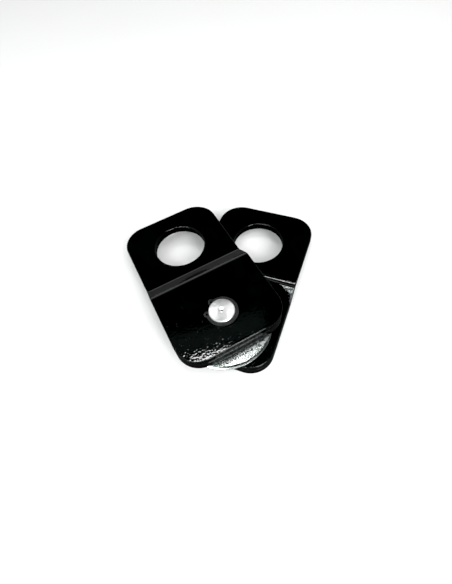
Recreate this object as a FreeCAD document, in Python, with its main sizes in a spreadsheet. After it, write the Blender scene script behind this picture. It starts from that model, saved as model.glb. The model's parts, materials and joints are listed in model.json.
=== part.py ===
"""Single sheave snatch block: two swing side plates on one pin, with a grooved sheave between them.

Frame: +Z up along the pin, origin on the pin's axis at the rear side's outer face, which lies on
the ground. +Y runs from the pin to the rear plate's eye. The front side is swung open about +Z.
Lengths are in millimetres.
"""
import FreeCAD, Part
import math
import os

import Sketcher

DRIVING_DIMENSIONS = [
    # side plates
    ("plate_width", 80.0),
    ("plate_thickness", 6.0),
    ("pin_to_bottom", 26.0),
    ("pin_to_top", 113.0),
    ("pin_to_eye", 77.5),
    ("eye_radius", 20.25),
    ("top_corner", 18.5),
    ("bottom_corner", 17.5),
    ("edge_round", 0.6),
    ("bend_start", 32.4),
    ("bend_end", 49.6),
    ("bend_inside", 3.0),
    ("cheek_end", 32.0),
    ("cheek_gap", 8.0),
    ("eye_clearance", 0.4),
    ("splay_angle", 49.0),
    # pin
    ("pin_radius", 9.0),
    ("pin_proud", 2.6),
    ("head_radius", 13.0),
    ("running_clearance", 0.06),
    ("pin_chamfer", 0.6),
    ("grease_radius", 1.5),
    # retaining ring
    ("ring_thickness", 1.2),
    ("ring_groove_width", 1.3),
    ("ring_inner", 8.5),
    ("ring_outer", 11.2),
    ("ring_offset", 0.35),
    ("ring_gap_angle", 186.0),
    ("lug_half_angle", 28.0),
    ("lug_radius", 2.1),
    ("lug_circle", 10.5),
    ("lug_hole", 0.95),
    # sheave, bush and washers
    ("sheave_radius", 34.5),
    ("sheave_side_gap", 0.3),
    ("groove_radius", 2.0),
    ("groove_depth", 4.0),
    ("flank_angle", 25.0),
    ("lip_round", 0.25),
    ("hub_recess_radius", 18.0),
    ("hub_recess_depth", 0.9),
    ("bush_radius", 12.0),
    ("washer_radius", 17.0),
    ("washer_thickness", 1.0),
    ("washer_gap", 0.05),
    # grease nipple
    ("nipple_head_radius", 3.3),
    ("nipple_head_thickness", 0.9),
    ("nipple_shank_radius", 2.5),
    ("nipple_length", 6.0),
    ("funnel_radius", 2.4),
    ("funnel_depth", 1.2),
    ("funnel_throat", 0.95),
    ("ball_radius", 1.2),
    ("chamber_radius", 1.35),
    ("spring_wire", 0.16),
    ("spring_radius", 0.9),
    ("spring_turns", 4.0),
]

DERIVED_DIMENSIONS = [
    # a side is a strap plate and a cheek plate, so the stack is side, gap, side
    ("side_thickness", "=2 * plate_thickness"),
    ("block_thickness", "=2 * side_thickness + cheek_gap"),
    ("mid_height", "=block_thickness / 2"),
    # the eye halves all but meet at the middle plane when the block is closed
    ("joggle_height", "=mid_height - plate_thickness - eye_clearance / 2"),
    ("pin_length", "=block_thickness + pin_proud"),
    ("bore_radius", "=pin_radius + running_clearance"),
    ("head_height", "=head_radius - pin_radius"),
    ("countersink", "=head_height + 2 * running_clearance"),
    ("ring_groove_start", "=block_thickness + 0.1"),
    ("sheave_width", "=cheek_gap - 2 * sheave_side_gap"),
    ("hub_width", "=sheave_width - 2 * hub_recess_depth"),
    ("nipple_bore_depth", "=nipple_length + 0.4"),
    ("front_washer_height", "=mid_height + cheek_gap / 2 - washer_gap - washer_thickness"),
    ("rear_washer_height", "=side_thickness + washer_gap"),
    # the ball rests on the funnel's throat, and the spring fills the chamber under it
    ("ball_depth", "=funnel_depth + sqrt(ball_radius ^ 2 - funnel_throat ^ 2) + 0.02"),
    ("spring_depth", "=nipple_length - 0.6 - 2 * spring_wire"),
    ("spring_height", "=spring_depth - ball_depth - ball_radius - 2 * spring_wire"),
]

doc = FreeCAD.newDocument("snatch_block")
Z_AXIS = FreeCAD.Vector(0, 0, 1)
Y_AXIS = FreeCAD.Vector(0, 1, 0)


def build_sheet():
    sheet = doc.addObject("Spreadsheet::Sheet", "sheet")
    row = 1
    for alias, value in DRIVING_DIMENSIONS + DERIVED_DIMENSIONS:
        sheet.set("A%d" % row, alias)
        sheet.set("B%d" % row, str(value))
        sheet.setAlias("B%d" % row, alias)
        row += 1
    doc.recompute()
    return sheet


sheet = build_sheet()


def size(alias):
    """A cell's value as a plain number."""
    value = sheet.get(alias)
    return float(getattr(value, "Value", value))


def vector(x, y):
    return FreeCAD.Vector(x, y, 0)


def new_body(label):
    body = doc.addObject("PartDesign::Body", label)
    body.Label = label
    return body


def origin_feature(body, role):
    for feature in body.Origin.OriginFeatures:
        if feature.Role == role:
            return feature
    raise ValueError("no origin feature " + role)


def new_sketch(body, name, plane="XY_Plane"):
    sketch = body.newObject("Sketcher::SketchObject", name)
    sketch.AttachmentSupport = [(origin_feature(body, plane), "")]
    sketch.MapMode = "FlatFace"
    return sketch


def dimension(sketch, name, expression, *constraint):
    """Adds a named dimension and ties it to the sheet."""
    index = sketch.addConstraint(Sketcher.Constraint(*constraint))
    sketch.renameConstraint(index, name)
    sketch.setExpression("Constraints." + name, expression)


def centred_circle(sketch, name, expression, radius):
    """A circle about the sketch's origin."""
    circle = sketch.addGeometry(Part.Circle(vector(0, 0), Z_AXIS, radius))
    sketch.addConstraint(Sketcher.Constraint("Coincident", circle, 3, -1, 1))
    dimension(sketch, name, expression, "Radius", circle, radius)
    return circle


def line_loop(sketch, points):
    """Straight lines through the points, joined end to end and closed."""
    first = None
    for start, end in zip(points, points[1:] + points[:1]):
        line = sketch.addGeometry(Part.LineSegment(vector(*start), vector(*end)))
        first = line if first is None else first
    count = len(points)
    for step in range(count):
        following = first + (step + 1) % count
        sketch.addConstraint(Sketcher.Constraint("Coincident", first + step, 2, following, 1))
    return first


def pad(body, sketch, name, expression, symmetric=False):
    feature = body.newObject("PartDesign::Pad", name)
    feature.Profile = sketch
    feature.setExpression("Length", expression)
    feature.Midplane = symmetric
    return feature


def pocket_through(body, sketch, name):
    """A pocket right through the body, both ways from its sketch."""
    feature = body.newObject("PartDesign::Pocket", name)
    feature.Profile = sketch
    feature.Type = 1
    feature.Midplane = True
    before = feature.BaseFeature.Shape.Volume
    doc.recompute()
    if feature.Shape.Volume >= before:
        raise ValueError(name + " cuts nothing")
    return feature


def round_edges(body, name, edges, expression):
    """A fillet along the given edges of the body's last feature."""
    feature = body.newObject("PartDesign::Fillet", name)
    feature.Base = (body.Group[-2], edges)
    feature.setExpression("Radius", expression)
    doc.recompute()
    return feature


def edge_names(shape, wanted):
    """Names of the edges for which wanted(edge) holds."""
    return ["Edge%d" % (index + 1) for index, edge in enumerate(shape.Edges) if wanted(edge)]


def revolve(body, sketch, name):
    """A full turn about the sketch's own vertical axis."""
    feature = body.newObject("PartDesign::Revolution", name)
    feature.Profile = sketch
    feature.ReferenceAxis = (sketch, ["V_Axis"])
    feature.Angle = 360
    doc.recompute()
    return feature


# ---------------------------------------------------------------- side plates

def strap_side_view(body):
    """The strap's bent section: a flat, an S bend inwards, and the eye's flat."""
    bottom, top = -size("pin_to_bottom"), size("pin_to_top")
    thick, rise = size("plate_thickness"), size("joggle_height")
    start, end = size("bend_start"), size("bend_end")
    inside = size("bend_inside")
    outside = inside + thick
    first = vector(start, outside)
    second = vector(end, rise - inside)
    span = second - first
    slope = math.atan2(span.y, span.x) + math.asin((inside + outside) / span.Length)
    sketch = new_sketch(body, "side_view", "YZ_Plane")

    def on_arc(centre, radius, angle):
        return vector(centre.x + radius * math.cos(angle), centre.y + radius * math.sin(angle))

    low, high = slope - math.pi / 2, slope + math.pi / 2

    def line(a, b):
        return sketch.addGeometry(Part.LineSegment(a, b))

    def arc(centre, radius, a, b):
        circle = Part.Circle(centre, Z_AXIS, radius)
        return sketch.addGeometry(Part.ArcOfCircle(circle, a, b))

    outer_flat = line(vector(bottom, 0), vector(start, 0))
    outer_bend = arc(first, outside, -math.pi / 2, low)
    outer_ramp = line(on_arc(first, outside, low), on_arc(second, inside, high))
    outer_return = arc(second, inside, math.pi / 2, high)
    outer_eye = line(vector(end, rise), vector(top, rise))
    top_end = line(vector(top, rise), vector(top, rise + thick))
    inner_eye = line(vector(top, rise + thick), vector(end, rise + thick))
    inner_return = arc(second, outside, math.pi / 2, high)
    inner_ramp = line(on_arc(second, outside, high), on_arc(first, inside, low))
    inner_bend = arc(first, inside, -math.pi / 2, low)
    inner_flat = line(vector(start, thick), vector(bottom, thick))
    bottom_end = line(vector(bottom, thick), vector(bottom, 0))

    def tie(kind, *where):
        sketch.addConstraint(Sketcher.Constraint(kind, *where))

    tie("Tangent", outer_flat, 2, outer_bend, 1)
    tie("Tangent", outer_bend, 2, outer_ramp, 1)
    tie("Tangent", outer_ramp, 2, outer_return, 2)
    tie("Tangent", outer_return, 1, outer_eye, 1)
    tie("Coincident", outer_eye, 2, top_end, 1)
    tie("Coincident", top_end, 2, inner_eye, 1)
    tie("Tangent", inner_eye, 2, inner_return, 1)
    tie("Tangent", inner_return, 2, inner_ramp, 1)
    tie("Tangent", inner_ramp, 2, inner_bend, 2)
    tie("Tangent", inner_bend, 1, inner_flat, 1)
    tie("Coincident", inner_flat, 2, bottom_end, 1)
    tie("Coincident", bottom_end, 2, outer_flat, 1)
    tie("Coincident", outer_bend, 3, inner_bend, 3)
    tie("Coincident", outer_return, 3, inner_return, 3)
    for flat in (outer_flat, outer_eye, inner_eye, inner_flat):
        tie("Horizontal", flat)
    for end_face in (top_end, bottom_end):
        tie("Vertical", end_face)
    tie("PointOnObject", outer_flat, 1, -1)
    dimension(sketch, "below_pin", "sheet.pin_to_bottom", "DistanceX", outer_flat, 1, -1, 1, -bottom)
    dimension(sketch, "to_bend", "sheet.bend_start", "DistanceX", -1, 1, outer_bend, 3, start)
    dimension(sketch, "to_eye_flat", "sheet.bend_end", "DistanceX", -1, 1, outer_return, 3, end)
    dimension(sketch, "above_pin", "sheet.pin_to_top", "DistanceX", -1, 1, outer_eye, 2, top)
    dimension(sketch, "joggle", "sheet.joggle_height", "DistanceY", -1, 1, outer_eye, 1, rise)
    dimension(sketch, "first_radius", "sheet.bend_inside", "Radius", inner_bend, inside)
    dimension(sketch, "second_radius", "sheet.bend_inside", "Radius", outer_return, inside)
    dimension(sketch, "foot_thickness", "sheet.plate_thickness", "DistanceY", bottom_end, 2,
              bottom_end, 1, thick)
    dimension(sketch, "eye_thickness", "sheet.plate_thickness", "DistanceY", top_end, 1,
              top_end, 2, thick)
    return sketch


def corner_waste(body, name, edge_sign, edge, edge_cell, radius, radius_cell):
    """What is cut off the two corners at one end of a plate: a square less a quarter circle."""
    sketch = new_sketch(body, name)
    half = size("plate_width") / 2
    for side, label in ((-1, "left"), (1, "right")):
        centre = vector(side * (half - radius), edge_sign * (edge - radius))
        corner = vector(side * half, edge_sign * edge)
        beside = vector(corner.x, centre.y)
        beyond = vector(centre.x, corner.y)
        start = math.atan2(beyond.y - centre.y, beyond.x - centre.x)
        finish = math.atan2(beside.y - centre.y, beside.x - centre.x)
        anticlockwise = side * edge_sign < 0
        first, last = (start, finish) if anticlockwise else (finish, start)
        circle = Part.Circle(centre, Z_AXIS, radius)
        arc = sketch.addGeometry(Part.ArcOfCircle(circle, first, last))
        along = sketch.addGeometry(Part.LineSegment(beyond, corner))
        across = sketch.addGeometry(Part.LineSegment(corner, beside))
        arc_at_beyond, arc_at_beside = (1, 2) if anticlockwise else (2, 1)
        for constraint in (
            ("Tangent", arc, arc_at_beyond, along, 1),
            ("Coincident", along, 2, across, 1),
            ("Tangent", arc, arc_at_beside, across, 2),
            ("Horizontal", along),
            ("Vertical", across),
        ):
            sketch.addConstraint(Sketcher.Constraint(*constraint))
        dimension(sketch, label + "_radius", radius_cell, "Radius", arc, radius)
        points = (-1, 1, along, 2) if side > 0 else (along, 2, -1, 1)
        dimension(sketch, label + "_half", "sheet.plate_width / 2", "DistanceX", *points, half)
        points = (-1, 1, along, 2) if edge_sign > 0 else (along, 2, -1, 1)
        dimension(sketch, label + "_edge", edge_cell, "DistanceY", *points, edge)
    return sketch


def cut_bottom_corners(body):
    waste = corner_waste(body, "bottom_corner_waste", -1, size("pin_to_bottom"),
                         "sheet.pin_to_bottom", size("bottom_corner"), "sheet.bottom_corner")
    return pocket_through(body, waste, "bottom_corners")


def cut_pin_bore(body):
    sketch = new_sketch(body, "pin_bore_outline")
    centred_circle(sketch, "bore", "sheet.bore_radius", size("bore_radius"))
    return pocket_through(body, sketch, "pin_bore")


def cut_eye(body):
    sketch = new_sketch(body, "eye_outline")
    radius, height = size("eye_radius"), size("pin_to_eye")
    circle = sketch.addGeometry(Part.Circle(vector(0, height), Z_AXIS, radius))
    sketch.addConstraint(Sketcher.Constraint("PointOnObject", circle, 3, -2))
    dimension(sketch, "eye_radius", "sheet.eye_radius", "Radius", circle, radius)
    dimension(sketch, "eye_height", "sheet.pin_to_eye", "DistanceY", -1, 1, circle, 3, height)
    return pocket_through(body, sketch, "eye")


def is_bore_edge(edge):
    """True for the circles of the pin bore."""
    curve = edge.Curve
    if not isinstance(curve, Part.Circle):
        return False
    return abs(curve.Radius - size("bore_radius")) < 0.01


def is_rim_edge(edge):
    """True for the edges round a plate's two faces and its eye: not the pin bore, not those that
    run through the thickness, and not the lines across the bend."""
    box = edge.BoundBox
    through = max(box.XLength, box.YLength) < 0.01
    within_bend = box.YMin > size("bend_start") - 0.01 and box.YMax < size("bend_end") + 0.01
    bend_line = within_bend and box.YLength < 0.01
    return not (is_bore_edge(edge) or through or bend_line)


def build_strap(label):
    """A side's outer plate, lying outer face down with its eye towards +Y."""
    body = new_body(label)
    pad(body, strap_side_view(body), "bent_strip", "sheet.plate_width", symmetric=True)
    doc.recompute()
    cut_bottom_corners(body)
    waste = corner_waste(body, "top_corner_waste", 1, size("pin_to_top"), "sheet.pin_to_top",
                         size("top_corner"), "sheet.top_corner")
    pocket_through(body, waste, "top_corners")
    cut_eye(body)
    bored = cut_pin_bore(body)
    round_edges(body, "soft_edges", edge_names(bored.Shape, is_rim_edge), "sheet.edge_round")
    return body


def countersink_strap(body):
    """Sinks the pin's head into the outer face."""
    def is_outer_bore_edge(edge):
        return is_bore_edge(edge) and abs(edge.BoundBox.ZMax) < 0.01

    feature = body.newObject("PartDesign::Chamfer", "countersink")
    feature.Base = (body.Group[-2], edge_names(body.Group[-2].Shape, is_outer_bore_edge))
    feature.setExpression("Size", "sheet.countersink")
    doc.recompute()


def build_cheek(label):
    """A side's flat inner plate, with the strap's outline below the bend."""
    body = new_body(label)
    sketch = new_sketch(body, "blank_outline")
    half, low, high = size("plate_width") / 2, size("pin_to_bottom"), size("cheek_end")
    first = line_loop(sketch, [(-half, -low), (half, -low), (half, high), (-half, high)])
    sketch.addConstraint(Sketcher.Constraint("Horizontal", first + 2))
    for line in (first + 1, first + 3):
        sketch.addConstraint(Sketcher.Constraint("Vertical", line))
    sketch.addConstraint(Sketcher.Constraint("Symmetric", first, 1, first, 2, -2))
    dimension(sketch, "width", "sheet.plate_width", "DistanceX", first, 1, first, 2, 2 * half)
    dimension(sketch, "below_pin", "sheet.pin_to_bottom", "DistanceY", first, 1, -1, 1, low)
    dimension(sketch, "above_pin", "sheet.cheek_end", "DistanceY", -1, 1, first + 1, 2, high)
    pad(body, sketch, "blank", "sheet.plate_thickness")
    doc.recompute()
    cut_bottom_corners(body)
    bored = cut_pin_bore(body)
    round_edges(body, "soft_edges", edge_names(bored.Shape, is_rim_edge), "sheet.edge_round")
    return body


def front_placement(height):
    """The rear side turned over at the given height, then swung open about the pin."""
    swing = FreeCAD.Rotation(Z_AXIS, size("splay_angle"))
    return FreeCAD.Placement(Z_AXIS * height, swing * FreeCAD.Rotation(Y_AXIS, 180))


# ---------------------------------------------------------------- turned pieces

def evaluate(expression):
    """The value of a sheet expression, as a plain number."""
    value = sheet.evalExpression(expression.replace("sheet.", ""))
    return float(getattr(value, "Value", value))


def half_section(body, corners):
    """A closed outline in the XZ half plane. Each corner is a radius and a height, both tied to
    the sheet."""
    sketch = new_sketch(body, "half_section", "XZ_Plane")
    values = [(evaluate(radius), evaluate(height)) for radius, height in corners]
    first = line_loop(sketch, values)
    for step, ((radius, height), (x, y)) in enumerate(zip(corners, values)):
        line = first + step
        if abs(x) < 1e-9:
            sketch.addConstraint(Sketcher.Constraint("PointOnObject", line, 1, -2))
        else:
            dimension(sketch, "radius_%d" % step, radius, "DistanceX", -1, 1, line, 1, x)
        if abs(y) < 1e-9:
            sketch.addConstraint(Sketcher.Constraint("PointOnObject", line, 1, -1))
        else:
            dimension(sketch, "height_%d" % step, height, "DistanceY", -1, 1, line, 1, y)
    return sketch


def turned(label, corners):
    """A piece turned about the pin's axis from a half section."""
    body = new_body(label)
    revolve(body, half_section(body, corners), "turned")
    return body


def turned_ring(label, inner, outer, low, high):
    return turned(label, [(inner, low), (outer, low), (outer, high), (inner, high)])


def build_washer(label):
    return turned_ring(label, "sheet.bore_radius", "sheet.washer_radius", "0",
                       "sheet.washer_thickness")


def build_bush():
    """Plain bearing bush, the hub's full width, about the sheave's middle plane."""
    return turned_ring("sheave_bush", "sheet.bore_radius", "sheet.bush_radius",
                       "-sheet.hub_width / 2", "sheet.hub_width / 2")


def rope_groove_section(body):
    """A round-bottomed groove with flared flanks, drawn past the rim so that it opens out."""
    radius, flank = size("groove_radius"), math.radians(size("flank_angle"))
    rim = size("sheave_radius")
    middle = rim - size("groove_depth") + radius
    outside = rim + 1
    bottom_x, bottom_y = middle - radius * math.sin(flank), radius * math.cos(flank)
    mouth = bottom_y + (outside - bottom_x) * math.tan(flank)
    sketch = new_sketch(body, "rope_groove_section", "XZ_Plane")
    circle = Part.Circle(vector(middle, 0), Z_AXIS, radius)
    turn = math.pi / 2 + flank
    arc = sketch.addGeometry(Part.ArcOfCircle(circle, turn, 2 * math.pi - turn))
    upper = sketch.addGeometry(Part.LineSegment(vector(bottom_x, bottom_y), vector(outside, mouth)))
    lower = sketch.addGeometry(Part.LineSegment(vector(bottom_x, -bottom_y), vector(outside, -mouth)))
    closing = sketch.addGeometry(Part.LineSegment(vector(outside, mouth), vector(outside, -mouth)))
    for constraint in (
        ("PointOnObject", arc, 3, -1),
        ("Tangent", arc, 1, upper, 1),
        ("Tangent", arc, 2, lower, 1),
        ("Coincident", upper, 2, closing, 1),
        ("Coincident", lower, 2, closing, 2),
        ("Symmetric", arc, 1, arc, 2, -1),
        ("Vertical", closing),
    ):
        sketch.addConstraint(Sketcher.Constraint(*constraint))
    dimension(sketch, "round", "sheet.groove_radius", "Radius", arc, radius)
    dimension(sketch, "centre", "sheet.sheave_radius - sheet.groove_depth + sheet.groove_radius",
              "DistanceX", -1, 1, arc, 3, middle)
    dimension(sketch, "opening", "sheet.sheave_radius + 1", "DistanceX", -1, 1, closing, 1, outside)
    dimension(sketch, "flank", "sheet.flank_angle", "Angle", upper, flank)
    return sketch


def build_sheave():
    """The wheel, about its own middle plane: a hub thinned for the washers and a grooved rim."""
    bush, recess, rim = "sheet.bush_radius", "sheet.hub_recess_radius", "sheet.sheave_radius"
    hub, face = "sheet.hub_width / 2", "sheet.sheave_width / 2"
    body = turned("sheave", [
        (bush, "-" + hub),
        (recess, "-" + hub),
        (recess, "-" + face),
        (rim, "-" + face),
        (rim, face),
        (recess, face),
        (recess, hub),
        (bush, hub),
    ])
    blank_volume = body.Shape.Volume
    section = rope_groove_section(body)
    groove = body.newObject("PartDesign::Groove", "rope_groove")
    groove.Profile = section
    groove.ReferenceAxis = (section, ["V_Axis"])
    groove.Angle = 360
    doc.recompute()
    if groove.Shape.Volume >= blank_volume:
        raise ValueError("the rope groove cuts nothing")

    def is_lip(edge):
        curve = edge.Curve
        return isinstance(curve, Part.Circle) and abs(curve.Radius - size("sheave_radius")) < 0.01

    round_edges(body, "soft_lips", edge_names(groove.Shape, is_lip), "sheet.lip_round")
    return body


def build_axle_pin():
    """Flat-headed pin: head, shank, ring groove, and a grease way down from its front end."""
    shank, head, grease = "sheet.pin_radius", "sheet.head_radius", "sheet.grease_radius"
    ring_start = "sheet.ring_groove_start"
    ring_end = "sheet.ring_groove_start + sheet.ring_groove_width"
    front = "sheet.pin_length"
    seat = "sheet.pin_length - sheet.nipple_head_thickness"
    bore_end = "sheet.pin_length - sheet.nipple_bore_depth"
    way_end = "sheet.mid_height - 2 * sheet.grease_radius"
    body = turned("axle_pin", [
        ("0", "0"),
        (head, "0"),
        (shank, "sheet.head_height"),
        (shank, ring_start),
        ("sheet.ring_inner", ring_start),
        ("sheet.ring_inner", ring_end),
        (shank, ring_end),
        (shank, "sheet.pin_length - sheet.pin_chamfer"),
        ("sheet.pin_radius - sheet.pin_chamfer", front),
        ("sheet.nipple_head_radius", front),
        ("sheet.nipple_head_radius", seat),
        ("sheet.nipple_shank_radius", seat),
        ("sheet.nipple_shank_radius", bore_end),
        (grease, bore_end),
        (grease, way_end),
        ("0", way_end),
    ])
    sketch = new_sketch(body, "cross_way_outline", "YZ_Plane")
    radius, height = size("grease_radius"), size("mid_height")
    circle = sketch.addGeometry(Part.Circle(vector(0, height), Z_AXIS, radius))
    sketch.addConstraint(Sketcher.Constraint("PointOnObject", circle, 3, -2))
    dimension(sketch, "way_radius", grease, "Radius", circle, radius)
    dimension(sketch, "way_height", "sheet.mid_height", "DistanceY", -1, 1, circle, 3, height)
    pocket_through(body, sketch, "cross_way")
    return body


def build_grease_nipple():
    """Funnel-headed nipple, its head's face at height 0, with a chamber for ball and spring."""
    lip = "sheet.funnel_throat - 0.3"
    floor = "-sheet.nipple_length + 0.6"
    chamber = "sheet.chamber_radius"
    return turned("grease_nipple", [
        ("sheet.funnel_radius", "0"),
        ("sheet.nipple_head_radius", "0"),
        ("sheet.nipple_head_radius", "-sheet.nipple_head_thickness"),
        ("sheet.nipple_shank_radius", "-sheet.nipple_head_thickness"),
        ("sheet.nipple_shank_radius", "-sheet.nipple_length"),
        (lip, "-sheet.nipple_length"),
        (lip, floor),
        (chamber, floor),
        (chamber, "-sheet.funnel_depth - 0.4"),
        ("sheet.funnel_throat", "-sheet.funnel_depth"),
    ])


def build_nipple_ball():
    ball = doc.addObject("Part::Sphere", "nipple_ball")
    ball.setExpression("Radius", "sheet.ball_radius")
    return ball


def build_nipple_spring():
    """A short coil, standing on height 0."""
    path = doc.addObject("Part::Helix", "spring_path")
    path.setExpression("Radius", "sheet.spring_radius")
    path.setExpression("Pitch", "sheet.spring_height / sheet.spring_turns")
    path.setExpression("Height", "sheet.spring_height")
    wire = doc.addObject("Part::Circle", "spring_section")
    wire.setExpression("Radius", "sheet.spring_wire")
    wire.Placement = FreeCAD.Placement(FreeCAD.Vector(size("spring_radius"), 0, 0),
                                       FreeCAD.Rotation(FreeCAD.Vector(1, 0, 0), 90))
    doc.recompute()
    spring = doc.addObject("Part::Sweep", "nipple_spring")
    spring.Sections = [wire]
    spring.Spine = (path, ["Edge1"])
    spring.Solid = True
    spring.Frenet = True
    return spring


# ---------------------------------------------------------------- retaining ring

def cylinder(name, radius, x="0", y="0"):
    """A disc of the ring's thickness, standing on height 0."""
    disc = doc.addObject("Part::Cylinder", name)
    disc.setExpression("Radius", radius)
    disc.setExpression("Height", "sheet.ring_thickness")
    disc.setExpression("Placement.Base.x", x)
    disc.setExpression("Placement.Base.y", y)
    return disc


def combine(kind, name, shapes):
    joined = doc.addObject(kind, name)
    joined.Shapes = shapes
    return joined


def cut(name, base, tool):
    result = doc.addObject("Part::Cut", name)
    result.Base = base
    result.Tool = tool
    return result


def build_retaining_ring():
    """External ring, thickest opposite its gap, with a drilled lug each side of the gap.

    It is drawn with its gap towards +X.
    """
    outer = cylinder("ring_outside", "sheet.ring_outer", x="-sheet.ring_offset")
    inner = cylinder("ring_inside", "sheet.ring_inner")
    gap = doc.addObject("Part::Box", "ring_gap")
    gap.setExpression("Length", "2 * sheet.ring_outer")
    gap.setExpression("Width", "2 * (sheet.lug_circle * sin(sheet.lug_half_angle) - sheet.lug_radius)")
    gap.setExpression("Height", "sheet.ring_thickness")
    gap.setExpression("Placement.Base.y",
                      "-(sheet.lug_circle * sin(sheet.lug_half_angle) - sheet.lug_radius)")
    open_ring = cut("open_ring", cut("plain_ring", outer, inner), gap)
    lugs, holes = [], []
    for side, sign in (("left", ""), ("right", "-")):
        x = "sheet.lug_circle * cos(sheet.lug_half_angle)"
        y = sign + "sheet.lug_circle * sin(sheet.lug_half_angle)"
        lugs.append(cylinder(side + "_lug", "sheet.lug_radius", x, y))
        holes.append(cylinder(side + "_lug_hole", "sheet.lug_hole", x, y))
    solid_ring = combine("Part::MultiFuse", "ring_with_lugs", [open_ring] + lugs)
    clear_ring = cut("clear_ring", solid_ring, combine("Part::MultiFuse", "lug_holes", holes))
    bore = cylinder("groove_fit", "sheet.ring_inner")
    ring = cut("retaining_ring", clear_ring, bore)
    return ring


# ---------------------------------------------------------------- assembly

def raised(height, turn=0.0):
    return FreeCAD.Placement(Z_AXIS * height, FreeCAD.Rotation(Z_AXIS, turn))


def build_model():
    """Every sub-part in its place, as label and document object."""
    thick = size("plate_thickness")
    total, middle = size("block_thickness"), size("mid_height")
    pin_end = size("pin_length")
    pieces = {}

    def place(piece, placement):
        pieces[piece.Label] = piece
        piece.Placement = placement

    rear_strap = build_strap("rear_strap_plate")
    countersink_strap(rear_strap)
    place(rear_strap, raised(0))
    place(build_cheek("rear_cheek_plate"), raised(thick))
    place(build_strap("front_strap_plate"), front_placement(total))
    place(build_cheek("front_cheek_plate"), front_placement(total - thick))
    place(build_sheave(), raised(middle))
    place(build_bush(), raised(middle))
    place(build_washer("rear_thrust_washer"), raised(size("rear_washer_height")))
    place(build_washer("front_thrust_washer"), raised(size("front_washer_height")))
    place(build_axle_pin(), raised(0))
    ring_height = size("ring_groove_start") + (size("ring_groove_width") - size("ring_thickness")) / 2
    place(build_retaining_ring(), raised(ring_height, size("ring_gap_angle")))
    place(build_grease_nipple(), raised(pin_end))
    place(build_nipple_ball(), raised(pin_end - size("ball_depth")))
    place(build_nipple_spring(), raised(pin_end - size("spring_depth")))
    doc.recompute()
    return pieces


def check_model(pieces):
    for item in doc.Objects:
        if "Invalid" in item.State or "Error" in item.State:
            raise ValueError(item.Name + " failed: " + str(item.State))
        if item.TypeId == "Sketcher::SketchObject" and item.solve() != 0:
            raise ValueError(item.Name + " does not solve")
    for label, piece in pieces.items():
        if piece.Shape.isNull() or not piece.Shape.isValid():
            raise ValueError(label + " has no valid shape")
        if len(piece.Shape.Solids) != 1:
            raise ValueError(label + " is not one solid")


def export_model(pieces):
    os.makedirs("parts", exist_ok=True)
    for label, piece in pieces.items():
        piece.Shape.exportStep("parts/" + label + ".step")
        box = piece.Shape.BoundBox
        print("%-20s %9.1f mm3  z %6.2f to %6.2f" % (label, piece.Shape.Volume, box.ZMin, box.ZMax))


model = build_model()
check_model(model)
export_model(model)
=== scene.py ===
"""A snatch block, lying open on a pale studio floor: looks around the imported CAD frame.

The frame's origin is on the pin's axis at the floor, +Z runs up along the pin, and +Y runs to the
rear plate's eye. Lengths here are in metres unless a name says otherwise.
"""

import json
import math

import bpy
from mathutils import Matrix, Vector


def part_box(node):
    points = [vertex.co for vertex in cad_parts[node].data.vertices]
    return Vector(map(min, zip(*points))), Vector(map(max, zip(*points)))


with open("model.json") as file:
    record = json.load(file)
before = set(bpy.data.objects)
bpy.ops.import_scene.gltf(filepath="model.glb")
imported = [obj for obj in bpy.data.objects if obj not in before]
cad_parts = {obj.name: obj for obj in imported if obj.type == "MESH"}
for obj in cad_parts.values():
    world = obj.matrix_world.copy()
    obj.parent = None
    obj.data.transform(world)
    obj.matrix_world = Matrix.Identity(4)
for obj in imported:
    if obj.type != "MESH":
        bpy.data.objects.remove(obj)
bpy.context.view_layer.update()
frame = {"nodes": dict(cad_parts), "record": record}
nodes = frame["nodes"]

# Camera: where it stands, which way it looks, and how wide it sees
CAMERA_PLACE = Vector((0.0591, -0.0945, 0.2349))
CAMERA_HEADING = 29.45   # degrees left of the rear plate's own direction
CAMERA_PITCH = 58.09     # degrees below level
CAMERA_ROLL = -9.79
FRAME_HEIGHT_PIXELS = 584
FOCAL_PIXELS = 338.4
SENSOR_HEIGHT_MM = 24.0

# Painted shade in the rope groove: how far below the rim it is at its full strength, and how wide
# the bright lips at the wheel's two faces are, which it leaves unshaded
GROOVE_SHADE_DEPTH = 0.0014
LIP_WIDTH = 0.0005

# Blender's wave texture turns its sine through this many radians a unit, at scale 1
WAVE_RATE = 20

# The floor reaches far enough out that its edge lies at the horizon
FLOOR_HALF_WIDTH = 60.0

DAYLIGHT_STRENGTH = 2.3   # watts per square metre
DAYLIGHT_SPREAD = 50      # degrees across

# A slight green-blue, for the lights that tint the gloss
COOL = (0.80, 1.0, 0.95)

# Tone: the darkest and the brightest light that still hold detail
BLACK_LEVEL = 0.005
WHITE_LEVEL = 0.97


# ---------------------------------------------------------------- shader helpers

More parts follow.
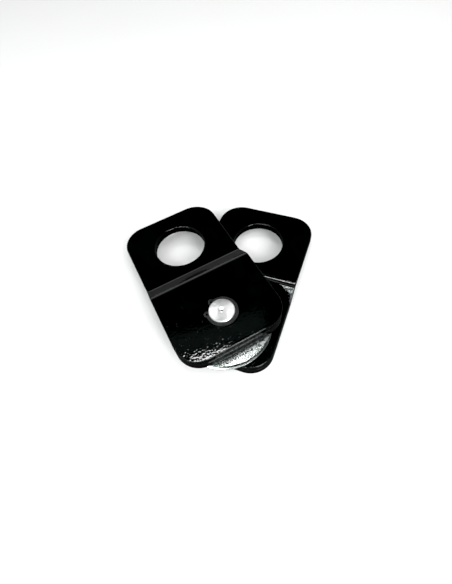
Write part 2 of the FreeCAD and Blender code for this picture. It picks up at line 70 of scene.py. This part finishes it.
class Shader:
    """Adds nodes to one node tree and links them."""

    def __init__(self, tree):
        self.tree = tree

    def feed(self, socket, value):
        """Links a node's output to a socket, or sets the socket to a plain value."""
        if isinstance(value, bpy.types.NodeSocket):
            self.tree.links.new(value, socket)
        else:
            socket.default_value = value

    def node(self, kind, **inputs):
        """Adds one node. An underscore in an input's name stands for a space."""
        made = self.tree.nodes.new(kind)
        for name, value in inputs.items():
            self.feed(made.inputs[name.replace("_", " ")], value)
        return made

    def noise(self, scale, detail=2.0, roughness=0.5, distortion=0.0):
        """A value that wanders about 0.5, in blotches about 1 / scale metres across."""
        place = self.node("ShaderNodeTexCoord").outputs["Object"]
        return self.node("ShaderNodeTexNoise", Vector=place, Scale=scale, Detail=detail,
                         Roughness=roughness, Distortion=distortion).outputs["Fac"]

    def lathe_rings(self, spacing, waver):
        """Fine rings about the pin's axis, as a lathe tool leaves them."""
        place = self.node("ShaderNodeTexCoord").outputs["Object"]
        spacing_at_scale_one = math.tau / WAVE_RATE
        made = self.node("ShaderNodeTexWave", Vector=place, Scale=spacing_at_scale_one / spacing,
                         Distortion=waver, Detail=2.0, Detail_Scale=0.4)
        made.wave_type = "RINGS"
        made.rings_direction = "Z"
        return made.outputs["Fac"]

    def remap(self, value, low, high, to_low, to_high):
        """Carries low to to_low and high to to_high, and stays level past both."""
        return self.node("ShaderNodeMapRange", Value=value, From_Min=low, From_Max=high,
                         To_Min=to_low, To_Max=to_high).outputs["Result"]

    def ramp(self, value, *stops):
        """A colour ramp: each stop is a place and a colour."""
        made = self.node("ShaderNodeValToRGB", Fac=value)
        elements = made.color_ramp.elements
        while len(elements) < len(stops):
            elements.new(0.5)
        for element, (place, colour) in zip(elements, stops):
            element.position = place
            element.color = (*colour, 1.0)
        return made.outputs["Color"]

    def blend(self, share, colour, other):
        """The first colour, going over to the other as the share goes to 1.

        A Mix node's sockets share their names between kinds, so the colour ones are found by type.
        """
        made = self.tree.nodes.new("ShaderNodeMix")
        made.data_type = "RGBA"
        colour_socket, other_socket = [socket for socket in made.inputs if socket.type == "RGBA"]
        self.feed(made.inputs["Factor"], share)
        self.feed(colour_socket, colour)
        other_socket.default_value = (*other, 1.0)
        return next(socket for socket in made.outputs if socket.type == "RGBA")

    def calculate(self, operation, first, second=0.0):
        """One step of arithmetic. An operation on one value leaves the second unused."""
        made = self.tree.nodes.new("ShaderNodeMath")
        made.operation = operation
        self.feed(made.inputs[0], first)
        self.feed(made.inputs[1], second)
        return made.outputs["Value"]

    def from_pin(self):
        """How far the surface is from the pin's axis, and how high it is."""
        place = self.node("ShaderNodeTexCoord").outputs["Object"]
        split = self.node("ShaderNodeSeparateXYZ", Vector=place).outputs
        across = self.calculate("MULTIPLY", split["X"], split["X"])
        along = self.calculate("MULTIPLY", split["Y"], split["Y"])
        radius = self.calculate("POWER", self.calculate("ADD", across, along), 0.5)
        return radius, split["Z"]

    def bump(self, height, distance, under=None):
        """The normal of a surface raised by height times distance, over another bump if given."""
        made = self.node("ShaderNodeBump", Height=height, Distance=distance)
        if under is not None:
            self.feed(made.inputs["Normal"], under)
        return made.outputs["Normal"]


class Finish(Shader):
    """One material: a principled surface and what feeds it."""

    def __init__(self, name):
        self.material = bpy.data.materials.new(name)
        self.material.use_nodes = True
        super().__init__(self.material.node_tree)
        self.surface = self.tree.nodes["Principled BSDF"]

    def set(self, **inputs):
        for name, value in inputs.items():
            self.feed(self.surface.inputs[name.replace("_", " ")], value)

    def turned_about_pin(self, strength):
        """Stretches the gloss across the lathe rings."""
        around = self.node("ShaderNodeTangent")
        around.direction_type = "RADIAL"
        around.axis = "Z"
        self.set(Anisotropic=strength, Tangent=around.outputs["Tangent"])


def grey(value):
    return (value, value, value)


# ---------------------------------------------------------------- materials

def black_paint():
    """Thick gloss black: an orange-peel ripple, a few dust nibs, and faint handling haze."""
    finish = Finish("black_paint")
    peel = finish.noise(scale=650.0, detail=1.0, roughness=0.5)
    swell = finish.noise(scale=140.0, detail=1.0)
    haze = finish.noise(scale=38.0, detail=5.0, roughness=0.65, distortion=0.6)
    nibs = finish.ramp(finish.noise(scale=1100.0, detail=0.0), (0.78, grey(0.0)), (0.84, grey(1.0)))
    waves = finish.bump(swell, distance=0.00002)
    skin = finish.bump(peel, distance=0.00004, under=waves)
    finish.set(
        Base_Color=finish.ramp(haze, (0.35, grey(0.0012)), (0.75, (0.0020, 0.0030, 0.0028))),
        Roughness=finish.remap(haze, 0.35, 0.8, 0.015, 0.04),
        Specular_IOR_Level=0.45,
        Normal=finish.bump(nibs, distance=0.00001, under=skin),
    )
    return finish.material


def zinc_plate():
    """Bright zinc over a turned wheel: lathe rings, a cool mottle, and painted shade in the groove.
    """
    finish = Finish("zinc_plate")
    low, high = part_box("sheave")
    rim = high[0]
    sheave_middle = (low[2] + high[2]) / 2
    half_width = (high[2] - low[2]) / 2
    mottle = finish.noise(scale=420.0, detail=3.0, roughness=0.5)
    patches = finish.noise(scale=85.0, detail=3.0)
    rings = finish.lathe_rings(spacing=0.00045, waver=0.6)
    turned = finish.bump(rings, distance=0.0000012)
    radius, height = finish.from_pin()
    above_middle = finish.calculate("SUBTRACT", height, sheave_middle)
    from_middle = finish.calculate("ABSOLUTE", above_middle)
    # Painted shade: the zinc goes nearly black deep in the rope groove, away from the two lips
    deep = finish.remap(radius, rim - GROOVE_SHADE_DEPTH, rim - GROOVE_SHADE_DEPTH / 2, 1.0, 0.0)
    inside = finish.remap(from_middle, half_width - 2 * LIP_WIDTH, half_width - LIP_WIDTH, 1.0, 0.0)
    groove_shade = finish.calculate("MULTIPLY", deep, inside)
    zinc_tone = finish.ramp(patches, (0.3, (0.40, 0.44, 0.43)), (0.7, (0.60, 0.64, 0.62)))
    finish.set(
        Base_Color=finish.blend(groove_shade, zinc_tone, (0.010, 0.016, 0.014)),
        Metallic=1.0,
        Roughness=finish.remap(mottle, 0.3, 0.7, 0.19, 0.32),
        Normal=finish.bump(mottle, distance=0.000004, under=turned),
    )
    finish.turned_about_pin(0.35)
    return finish.material


def turned_steel(name, light, rough):
    """Bare steel off a lathe: fine rings, with a light stain here and there."""
    finish = Finish(name)
    stain = finish.noise(scale=170.0, detail=3.0)
    rings = finish.lathe_rings(spacing=0.0003, waver=0.3)
    stained = light * 0.82
    roughest = rough * 1.35
    finish.set(
        Base_Color=finish.ramp(stain, (0.3, grey(stained)), (0.65, grey(light))),
        Metallic=1.0,
        Roughness=finish.remap(stain, 0.3, 0.7, rough, roughest),
        Normal=finish.bump(rings, distance=0.0000015),
    )
    finish.turned_about_pin(0.45)
    return finish.material


def spring_steel():
    """Oiled phosphate on a stamped ring: nearly black, with a fine crystal grain."""
    finish = Finish("spring_steel")
    grain = finish.noise(scale=1500.0, detail=3.0, roughness=0.7)
    oil = finish.noise(scale=220.0, detail=2.0)
    finish.set(
        Base_Color=finish.ramp(grain, (0.3, grey(0.006)), (0.7, grey(0.016))),
        Roughness=finish.remap(oil, 0.3, 0.7, 0.28, 0.46),
        Specular_IOR_Level=0.3,
        Normal=finish.bump(grain, distance=0.00001),
    )
    return finish.material


def bronze():
    """Bearing bronze: browner where it has tarnished."""
    finish = Finish("bronze")
    tarnish = finish.noise(scale=210.0, detail=4.0, roughness=0.6)
    rings = finish.lathe_rings(spacing=0.0004, waver=0.5)
    finish.set(
        Base_Color=finish.ramp(tarnish, (0.3, (0.33, 0.19, 0.08)), (0.7, (0.62, 0.42, 0.20))),
        Metallic=1.0,
        Roughness=finish.remap(tarnish, 0.3, 0.7, 0.28, 0.46),
        Normal=finish.bump(rings, distance=0.000002),
    )
    return finish.material


MATERIAL_OF_SLOT = {
    "black_paint": black_paint(),
    "zinc_plate": zinc_plate(),
    "turned_steel": turned_steel("turned_steel", light=0.95, rough=0.30),
    "nipple_steel": turned_steel("nipple_steel", light=0.90, rough=0.34),
    "polished_steel": turned_steel("polished_steel", light=0.60, rough=0.20),
    "spring_steel": spring_steel(),
    "bronze": bronze(),
}


def dress_nodes():
    """Gives every CAD node the material of its slot."""
    for part in frame["record"]["subparts"]:
        node = nodes[part["node"]]
        node.data.materials.clear()
        node.data.materials.append(MATERIAL_OF_SLOT[part["material_slot"]])


# ---------------------------------------------------------------- studio

def add_floor():
    """A wide sheet of pale paper. The block's own gloss doesn't mirror it."""
    half = FLOOR_HALF_WIDTH
    mesh = bpy.data.meshes.new("studio_floor")
    corners = [(-half, -half, 0), (half, -half, 0), (half, half, 0), (-half, half, 0)]
    mesh.from_pydata(corners, [], [(0, 1, 2, 3)])
    floor = bpy.data.objects.new("studio_floor", mesh)
    floor.visible_glossy = False
    bpy.context.scene.collection.objects.link(floor)
    paper = Finish("floor_paper")
    paper.set(
        Base_Color=paper.ramp(paper.noise(scale=3.0), (0.3, grey(0.67)), (0.7, grey(0.69))),
        Roughness=0.9,
    )
    mesh.materials.append(paper.material)


def direction(heading, elevation):
    """A unit vector: heading in degrees clockwise from where the camera looks, then up."""
    turn = math.radians(CAMERA_HEADING - heading)
    up = math.radians(elevation)
    return Vector((-math.sin(turn) * math.cos(up), math.cos(turn) * math.cos(up), math.sin(up)))


def add_softbox(name, heading, elevation, distance, width, height, radiance, tint=grey(1.0),
                roll=0):
    """A rectangular light that faces the block. Its radiance sets how bright it mirrors."""
    light = bpy.data.lights.new(name, "AREA")
    light.shape = "RECTANGLE"
    light.size = width
    light.size_y = height
    light.energy = radiance * math.pi * width * height
    light.color = tint
    box = bpy.data.objects.new(name, light)
    towards = direction(heading, elevation)
    facing = towards.to_track_quat("Z", "Y").to_matrix().to_4x4()
    turned = Matrix.Rotation(math.radians(roll), 4, "Z")
    box.matrix_world = Matrix.Translation(towards * distance) @ facing @ turned
    box.visible_camera = False
    bpy.context.scene.collection.objects.link(box)


def add_daylight():
    """An even light over the whole floor, from the camera's right. The gloss doesn't mirror it."""
    light = bpy.data.lights.new("daylight", "SUN")
    light.energy = DAYLIGHT_STRENGTH
    light.angle = math.radians(DAYLIGHT_SPREAD)
    sun = bpy.data.objects.new("daylight", light)
    towards = direction(heading=125, elevation=52)
    sun.rotation_euler = towards.to_track_quat("Z", "Y").to_euler()
    sun.visible_glossy = False
    bpy.context.scene.collection.objects.link(sun)


def add_lights():
    """The large boxes light the block and the paper, and the narrow ones place the glints."""
    add_softbox("edge_light", heading=156, elevation=34, distance=1.6, width=0.5, height=0.8,
                radiance=15)
    add_softbox("fill_left", heading=-95, elevation=62, distance=1.6, width=1.0, height=0.8,
                radiance=1)
    add_softbox("overhead", heading=0, elevation=84, distance=1.6, width=0.7, height=0.10,
                radiance=22)
    add_softbox("right_strip", heading=25, elevation=76.5, distance=1.2, width=0.14, height=0.04,
                radiance=24)
    add_softbox("far_strip", heading=-16, elevation=70.8, distance=1.2, width=0.18, height=0.05,
                radiance=26, roll=-8)
    add_softbox("far_glow", heading=-8, elevation=66, distance=1.25, width=0.45, height=0.10,
                radiance=0.15, tint=COOL)
    add_softbox("near_glow", heading=-170, elevation=71, distance=1.2, width=0.36, height=0.18,
                radiance=1.1, tint=COOL)
    add_softbox("corner_card", heading=-143, elevation=46, distance=1.4, width=0.6, height=0.40,
                radiance=3, tint=COOL)
    add_softbox("corner_high", heading=-146, elevation=54, distance=1.4, width=0.7, height=0.16,
                radiance=16)
    add_softbox("corner_low", heading=-143, elevation=38, distance=1.4, width=0.6, height=0.12,
                radiance=11)


def add_world():
    """Bright low over the horizon, and dark overhead and below.

    A stop's place goes from 0 straight down, through 0.5 at the horizon, to 1 straight up.
    """
    world = bpy.data.worlds.new("studio")
    world.use_nodes = True
    bpy.context.scene.world = world
    sky = Shader(world.node_tree)
    place = sky.node("ShaderNodeTexCoord").outputs["Generated"]
    height = sky.node("ShaderNodeSeparateXYZ", Vector=place).outputs["Z"]
    shade = sky.ramp(sky.remap(height, -1.0, 1.0, 0.0, 1.0),
                     (0.490, grey(0.04)), (0.498, grey(1.0)), (0.62, grey(0.85)),
                     (0.76, grey(0.05)), (0.90, grey(0.03)))
    sky.feed(world.node_tree.nodes["Background"].inputs["Color"], shade)


def add_camera():
    camera = bpy.data.cameras.new("camera")
    camera.sensor_fit = "VERTICAL"
    camera.sensor_height = SENSOR_HEIGHT_MM
    camera.lens = SENSOR_HEIGHT_MM * FOCAL_PIXELS / FRAME_HEIGHT_PIXELS
    camera.clip_start = 0.01
    holder = bpy.data.objects.new("camera", camera)
    turn = Matrix.Rotation(math.radians(CAMERA_HEADING), 4, "Z")
    tip = Matrix.Rotation(math.radians(90 - CAMERA_PITCH), 4, "X")
    roll = Matrix.Rotation(math.radians(CAMERA_ROLL), 4, "Z")
    holder.matrix_world = Matrix.Translation(CAMERA_PLACE) @ turn @ tip @ roll
    bpy.context.scene.collection.objects.link(holder)
    bpy.context.scene.camera = holder


def set_tone():
    """A hard studio print: the deepest shadows go black and the paper goes white."""
    view = bpy.context.scene.view_settings
    view.view_transform = "Standard"
    view.look = "None"
    view.use_curve_mapping = True
    view.curve_mapping.black_level = grey(BLACK_LEVEL)
    view.curve_mapping.white_level = grey(WHITE_LEVEL)
    view.curve_mapping.update()


dress_nodes()
add_floor()
add_daylight()
add_lights()
add_world()
add_camera()
set_tone()
